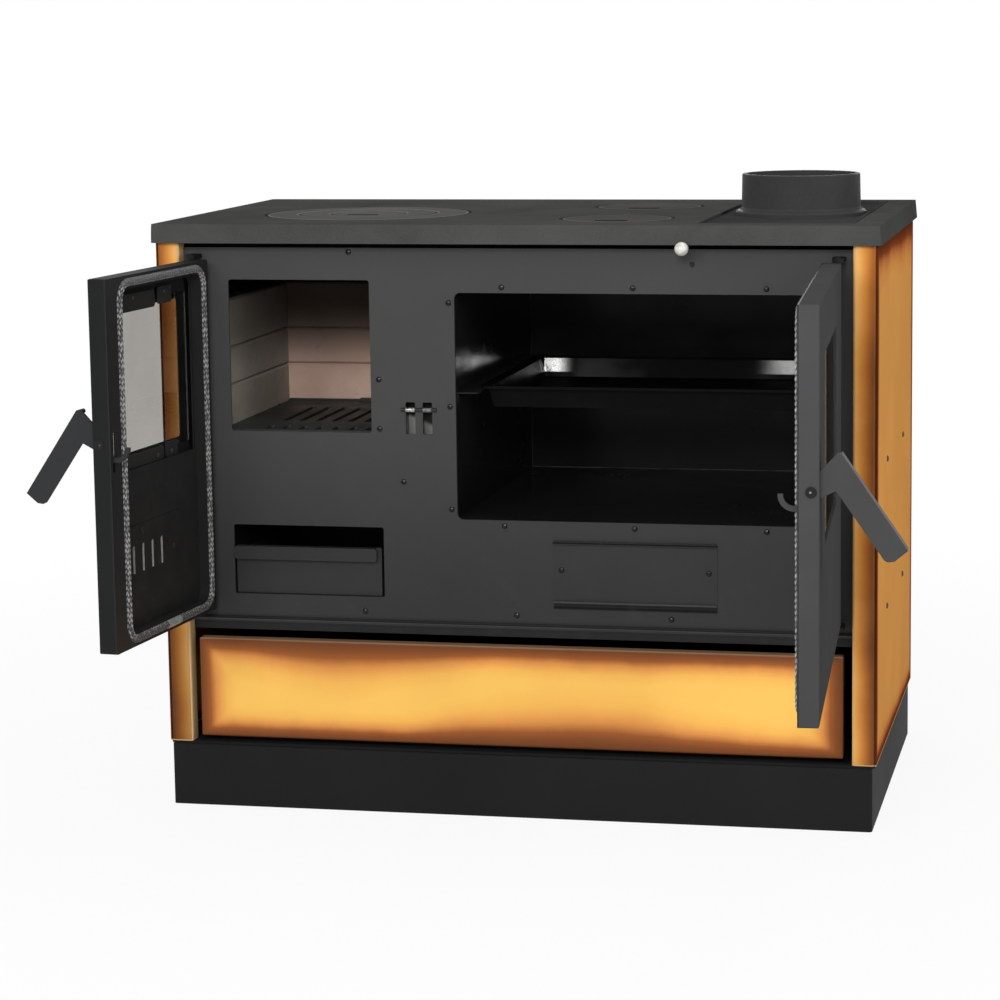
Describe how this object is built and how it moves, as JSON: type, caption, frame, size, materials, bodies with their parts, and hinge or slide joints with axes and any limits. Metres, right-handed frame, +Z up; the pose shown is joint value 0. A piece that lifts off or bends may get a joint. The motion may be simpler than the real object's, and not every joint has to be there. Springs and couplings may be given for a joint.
{
  "type": "wood cookstove",
  "caption": "Free-standing wood cookstove with a flat iron hob, flue collar, glazed firebox and oven doors, ash drawer and storage drawer.",
  "frame": {"origin": "centre of the plinth's footprint, at floor level", "axes": "+Z up, -Y out of the front with the doors, +X to the viewer's right"},
  "size_m": [1.2111, 1.1949, 0.906],
  "materials": {
    "dark_enamel": "satin",
    "black_sheet": "matt",
    "panel_grey": "satin, sooty",
    "amber_enamel": "glossy enamel shading to brown at the edges",
    "cast_iron": "matt",
    "hob_iron": "ground, oiled",
    "grey_steel": "plain",
    "white_knob": "glossy",
    "oven_enamel": "glossy enamel",
    "glass": "clear",
    "rope": "woven glass rope",
    "firebrick": "matt fired clay"
  },
  "bodies": {
    "stove": {"plinth": "black_sheet", "base_plate": "black_sheet", "side_frames": "black_sheet", "left_side_panel": "amber_enamel", "right_side_panel": "amber_enamel", "side_screws": "amber_enamel", "rear_panel": "black_sheet", "rear_screws": "black_sheet", "left_column": "amber_enamel", "right_column": "amber_enamel", "inner_body": "black_sheet", "front_panel": "panel_grey", "front_rivets": "panel_grey", "latch_pin": "grey_steel", "latch_box": "panel_grey", "hinge_lugs": "black_sheet", "cleaning_cover": "panel_grey", "cleaning_screws": "grey_steel", "hob_top": "hob_iron", "flue_plate": "hob_iron", "flue_collar": "cast_iron", "flue_box": "black_sheet", "damper_guide": "black_sheet", "hearth_plate": "cast_iron", "side_bricks": "firebrick", "rear_bricks": "firebrick", "firebox_casing": "black_sheet", "ash_box": "black_sheet", "oven_box": "oven_enamel", "oven_rails": "oven_enamel", "drawer_runners": "black_sheet"},
    "outer_ring": {"outer_ring": "hob_iron"},
    "inner_ring": {"inner_ring": "hob_iron"},
    "centre_disc": {"centre_disc": "hob_iron"},
    "front_cover": {"front_cover": "hob_iron"},
    "rear_cover": {"rear_cover": "hob_iron"},
    "damper": {"damper_plate": "grey_steel", "damper_rod": "grey_steel", "damper_knob": "white_knob"},
    "grate": {"grate": "cast_iron"},
    "ash_drawer": {"ash_drawer": "panel_grey"},
    "baking_tray": {"baking_tray": "oven_enamel"},
    "storage_drawer": {"storage_drawer": "black_sheet", "drawer_front": "amber_enamel"},
    "firebox_door": {"fire_door_skin": "dark_enamel", "fire_door_frame": "dark_enamel", "fire_door_pins": "grey_steel", "fire_door_glass": "glass", "fire_glass_clips": "dark_enamel", "air_plate": "panel_grey", "fire_door_seal": "rope"},
    "firebox_handle": {"fire_door_handle": "dark_enamel"},
    "air_slider": {"air_slider": "grey_steel"},
    "oven_door": {"oven_door_skin": "dark_enamel", "oven_door_frame": "dark_enamel", "oven_door_pins": "grey_steel", "oven_door_glass": "glass", "oven_glass_clips": "dark_enamel", "oven_door_seal": "rope"},
    "oven_handle": {"oven_door_handle": "dark_enamel"}
  },
  "joints": [
    {"name": "firebox_door_hinge", "type": "hinge", "parent": "stove", "child": "firebox_door", "pos_m": [-0.463, -0.295, 0.5455], "axis": [0, 0, -1], "range_deg": [-95.6, 54.4]},
    {"name": "firebox_handle_pivot", "type": "hinge", "parent": "firebox_door", "child": "firebox_handle", "pos_m": [-0.48802, -0.60655, 0.577], "axis": [0.0976, 0.9952, 0], "range_deg": [-15, 25]},
    {"name": "air_slider_slide", "type": "slide", "parent": "firebox_door", "child": "air_slider", "axis": [0.0976, 0.9952, 0], "range_m": [0, 0.014]},
    {"name": "oven_door_hinge", "type": "hinge", "parent": "stove", "child": "oven_door", "pos_m": [0.463, -0.295, 0.5455], "axis": [0, 0, 1], "range_deg": [-93.7, 56.3]},
    {"name": "oven_handle_pivot", "type": "hinge", "parent": "oven_door", "child": "oven_handle", "pos_m": [0.49549, -0.88263, 0.577], "axis": [0.0645, -0.9979, 0], "range_deg": [-15, 25]},
    {"name": "ash_drawer_slide", "type": "slide", "parent": "stove", "child": "ash_drawer", "axis": [0, -1, 0], "range_m": [0, 0.26]},
    {"name": "storage_drawer_slide", "type": "slide", "parent": "stove", "child": "storage_drawer", "axis": [0, -1, 0], "range_m": [0, 0.35]},
    {"name": "baking_tray_slide", "type": "slide", "parent": "stove", "child": "baking_tray", "axis": [0, -1, 0], "range_m": [0, 0.25]},
    {"name": "damper_slide", "type": "slide", "parent": "stove", "child": "damper", "axis": [0, -1, 0], "range_m": [0, 0.1]},
    {"name": "grate_lift", "type": "slide", "parent": "stove", "child": "grate", "axis": [0, 0, 1], "range_m": [0, 0.05]},
    {"name": "outer_ring_lift", "type": "slide", "parent": "stove", "child": "outer_ring", "axis": [0, 0, 1], "range_m": [0, 0.06]},
    {"name": "inner_ring_lift", "type": "slide", "parent": "outer_ring", "child": "inner_ring", "axis": [0, 0, 1], "range_m": [0, 0.06]},
    {"name": "centre_disc_lift", "type": "slide", "parent": "inner_ring", "child": "centre_disc", "axis": [0, 0, 1], "range_m": [0, 0.06]},
    {"name": "front_cover_lift", "type": "slide", "parent": "stove", "child": "front_cover", "axis": [0, 0, 1], "range_m": [0, 0.06]},
    {"name": "rear_cover_lift", "type": "slide", "parent": "stove", "child": "rear_cover", "axis": [0, 0, 1], "range_m": [0, 0.06]}
  ]
}
